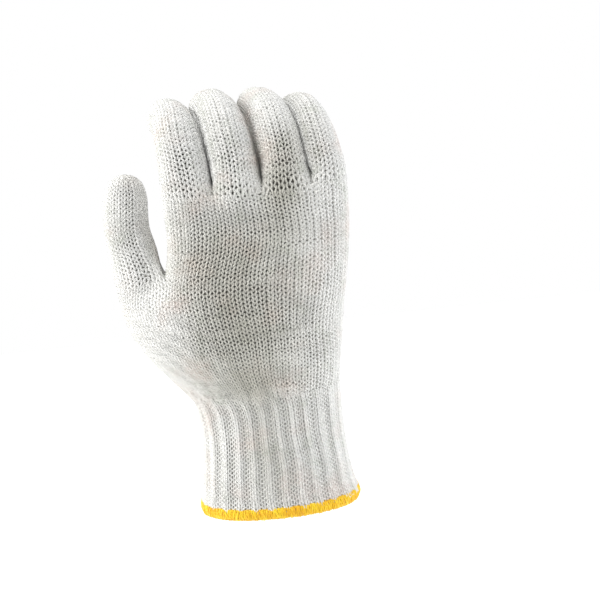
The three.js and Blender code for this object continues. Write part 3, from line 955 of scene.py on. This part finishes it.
def backing_mesh(rounded, indices):
    """A thin wall under the strings: outer faces are material 0, painted as the shade between the
    loops, and inner faces material 1
    """
    mesh = rounded.copy()
    bm = bmesh.new()
    bm.from_mesh(mesh)
    others = [face for face in bm.faces if face.material_index not in indices]
    bmesh.ops.delete(bm, geom=others, context="FACES")
    for face in bm.faces:
        face.material_index = 0
    bm.to_mesh(mesh)
    bm.free()
    points = coordinates(mesh) / MM
    normals = coordinates(mesh, "normal")
    stretch = openness(points, normals)
    depth = BACKING_DEPTH - CLOSED_RISE * (1 - stretch)
    mesh.vertices.foreach_set("co", ((points - normals * depth[:, None]) * MM).ravel())
    stretched = mesh.attributes.new("openness", "FLOAT", "POINT")
    stretched.data.foreach_set("value", stretch)
    mesh.materials.append(MATERIALS["face"])
    mesh.materials.append(MATERIALS["inside"])
    obj = new_object("backing", mesh)
    wall = obj.modifiers.new("wall", "SOLIDIFY")
    wall.thickness = (KNIT_WALL - BACKING_DEPTH) * MM
    wall.offset = -1
    wall.material_offset = 1
    wall.material_offset_rim = 0
    return finished_mesh(obj, "backing")


def knitted_piece(node, surface, wales, stitch, rounded, indices, seed):
    """A section of the glove: its strings on their backing, in place of its solid"""
    strings = string_curve(node + "_strings", knitted_courses(surface, wales, stitch, seed), YARN)
    backing = backing_mesh(rounded, indices)
    piece = joined_piece(node + "_knit", [(strings, [MATERIALS["string"]]),
                                          (backing, [MATERIALS["face"], MATERIALS["inside"]])])
    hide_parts(node)
    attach(piece, "root")


def crease_painted_shadings(node):
    """Painted shade in a section's creases on its thumb side and its little finger's side, painted
    light where below 0
    """
    names = [finger["name"] for finger in FINGERS]
    greys = [finger["crease_painted_shading"] for finger in FINGERS] + [0]
    if node not in names:
        return 0, 0
    place = names.index(node)
    return greys[place], greys[place + 1]


def make_hand():
    net = hand_net()
    sections = [*HAND_SECTIONS, *[name + "_tip" for name in HAND_SECTIONS]]
    points = fitted_points(net, sections)
    fine_levels = 3
    fine = rounded_mesh(net, points, sections, fine_levels)
    shell = rounded_mesh(net, points, sections, 1)
    worn_shape(fine, sections)
    worn_shape(shell, sections)
    for seed, node in enumerate(HAND_SECTIONS):
        index = sections.index(node)
        tip = sections.index(node + "_tip")
        surface = Surface(fine, index, 2 ** fine_levels, crease_painted_shadings(node))
        knitted_piece(node, surface, WALES[node], PLAIN_STITCH, shell, (index, tip), seed)


def make_cuff():
    net = cuff_net()
    points = fitted_points(net, ["rib_cuff"])
    fine_levels = 2
    fine = rounded_mesh(net, points, ["rib_cuff"], fine_levels)
    surface = Surface(fine, 0, 2 ** fine_levels)
    shell = rounded_mesh(net, points, ["rib_cuff"], 1)
    knitted_piece("rib_cuff", surface, surface.columns, RIB_STITCH, shell, (0,), seed=50)


def hem_line(steps):
    """A line round the hem, midway in its height and its wall, and the direction inwards there"""
    ring = cuff_ring(CUFF_SECTIONS[0], BINDING_HEIGHT / 2, steps)
    inwards = inward_directions(ring)
    return ring + inwards * KNIT_WALL / 2, inwards


def wound_thread(slant, seed):
    """The path of one hem thread round the hem's core, its turns slanting to one side"""
    turns = 190
    points_per_turn = 8
    steps = turns * points_per_turn
    middle, inwards = hem_line(steps)
    place = np.arange(steps)
    angle = 2 * math.pi * place / points_per_turn + slant
    rng = np.random.default_rng(seed)
    swell = 1 + drift(rng, turns, place / points_per_turn, HEM_UNEVEN["turns"])
    half_thick = (BINDING_THICKNESS - HEM_THREAD) / 2 * swell
    half_high = (BINDING_HEIGHT + HEM_OVERLAP - HEM_THREAD) / 2 * swell
    along = np.cross(inwards, (0, 0, 1))
    sideways = slant * HEM_SLANT * np.sin(angle) + drift(rng, steps, place, HEM_UNEVEN["along"])
    path = middle - inwards * (half_thick * np.cos(angle))[:, None]
    path[:, 2] += half_high * np.sin(angle) + HEM_OVERLAP / 2
    path += along * sideways[:, None]
    path -= inwards * drift(rng, steps, place, HEM_UNEVEN["out"])[:, None]
    radius = 1 + drift(rng, steps, place, HEM_UNEVEN["thickness"])
    return path, radius, np.zeros(steps), np.zeros(steps)


def hem_core():
    """The band inside the hem's thread, taller than it is thick"""
    steps = 160
    middle, _ = hem_line(steps)
    core = string_curve("hem_core", [(middle, *[np.ones(steps)] * 3)],
                        BINDING_THICKNESS - HEM_THREAD)
    centre = BINDING_HEIGHT / 2 * MM
    for vertex in core.vertices:
        vertex.co.z = centre + (vertex.co.z - centre) * HEM_CORE_STRETCH
    return core


def make_hem():
    """The overlocked hem: a core band wound with fluffy thread that slants both ways"""
    threads = [wound_thread(slant=1, seed=90), wound_thread(slant=-1, seed=91)]
    wound = string_curve("hem_thread", threads, HEM_THREAD)
    piece = joined_piece("hem_overlock", [(wound, [MATERIALS["thread"]]),
                                          (hem_core(), [MATERIALS["thread"]])])
    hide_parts("edge_binding")
    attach(piece, "root")


def make_floor():
    """White paper well below the glove, bright enough to run into the background"""
    bm = bmesh.new()
    bmesh.ops.create_grid(bm, x_segments=1, y_segments=1, size=0.6)
    bmesh.ops.translate(bm, verts=bm.verts, vec=(0, 0, -0.05))
    mesh = bpy.data.meshes.new("floor")
    bm.to_mesh(mesh)
    bm.free()
    material, tree, shader = new_material("white_paper")
    set_inputs(tree, shader, {"Base Color": hex_colour("#B4B4B4"), "Roughness": 1.0,
                              "Specular IOR Level": 0.0, "Emission Color": hex_colour("#FFFFFF"),
                              "Emission Strength": 0.85})
    mesh.materials.append(material)
    new_object("floor", mesh)


def add_light(name, place, aim, size, power, colour):
    light = bpy.data.lights.new(name, "AREA")
    light.shape = "DISK"
    light.size = size
    light.energy = power
    light.color = hex_colour(colour)[:3]
    obj = new_object(name, light)
    obj.location = place
    obj.rotation_euler = (Vector(aim) - Vector(place)).to_track_quat("-Z", "Y").to_euler()


def make_lights():
    """Soft studio light from both sides and above, in a world that is white to the camera and dim
    as light"""
    middle = (0, 0, 0.11)
    add_light("left_softbox", (-1.25, -0.27, 0.6), middle, 1.5, 24.5, "#FFFEFC")
    add_light("right_softbox", (1.35, -0.3, 0.4), middle, 1.5, 22, "#FBFCFF")
    add_light("top_softbox", (-0.3, 0.0, 1.5), middle, 1.3, 14.5, "#FFFFFF")
    world = bpy.data.worlds.new("studio")
    world.use_nodes = True
    tree = world.node_tree
    seen = add_node(tree, "ShaderNodeLightPath").outputs["Is Camera Ray"]
    strength = add_node(tree, "ShaderNodeMapRange", {"Value": seen, "To Min": 0.26, "To Max": 1.0})
    set_inputs(tree, tree.nodes["Background"], {"Color": hex_colour("#FFFFFF"),
                                                "Strength": strength.outputs["Result"]})
    bpy.context.scene.world = world
    bpy.context.scene.view_settings.view_transform = "Standard"


def make_camera():
    """The photograph's view: 13 degrees above level, straight on the back of the hand"""
    target = Vector((22.1, 0, 110.5)) * MM
    distance = 0.9
    elevation = math.radians(13)
    roll = math.radians(6)
    focal_pixels = 1707.3
    image_pixels = 600
    forward = Vector((0, math.cos(elevation), -math.sin(elevation)))
    right = Vector((1, 0, 0))
    up = right.cross(forward)
    tilted_right = right * math.cos(roll) - up * math.sin(roll)
    tilted_up = right * math.sin(roll) + up * math.cos(roll)
    data = bpy.data.cameras.new("camera")
    data.sensor_width = 36
    data.lens = data.sensor_width * focal_pixels / image_pixels
    camera = new_object("camera", data)
    turn = Matrix((tilted_right, tilted_up, -forward)).transposed()
    camera.matrix_world = Matrix.Translation(target - forward * distance) @ turn.to_4x4()
    bpy.context.scene.camera = camera


def corners(box):
    return [[float(value) for value in corner] for corner in box]


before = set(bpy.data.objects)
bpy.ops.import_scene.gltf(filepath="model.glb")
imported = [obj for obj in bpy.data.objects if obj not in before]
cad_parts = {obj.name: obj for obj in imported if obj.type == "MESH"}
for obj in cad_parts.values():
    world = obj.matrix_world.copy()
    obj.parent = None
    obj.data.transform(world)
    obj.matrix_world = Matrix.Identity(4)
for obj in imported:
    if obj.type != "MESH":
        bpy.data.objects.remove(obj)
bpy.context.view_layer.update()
MATERIALS = {
    "string": cotton_string(),
    # The backing's outer face, painted as the shade between the loops
    "face": painted_shade_backing(),
    "inside": backing_inside(),
    "thread": overlock_thread(),
}
make_hand()
make_cuff()
make_hem()
make_floor()
make_lights()
make_camera()
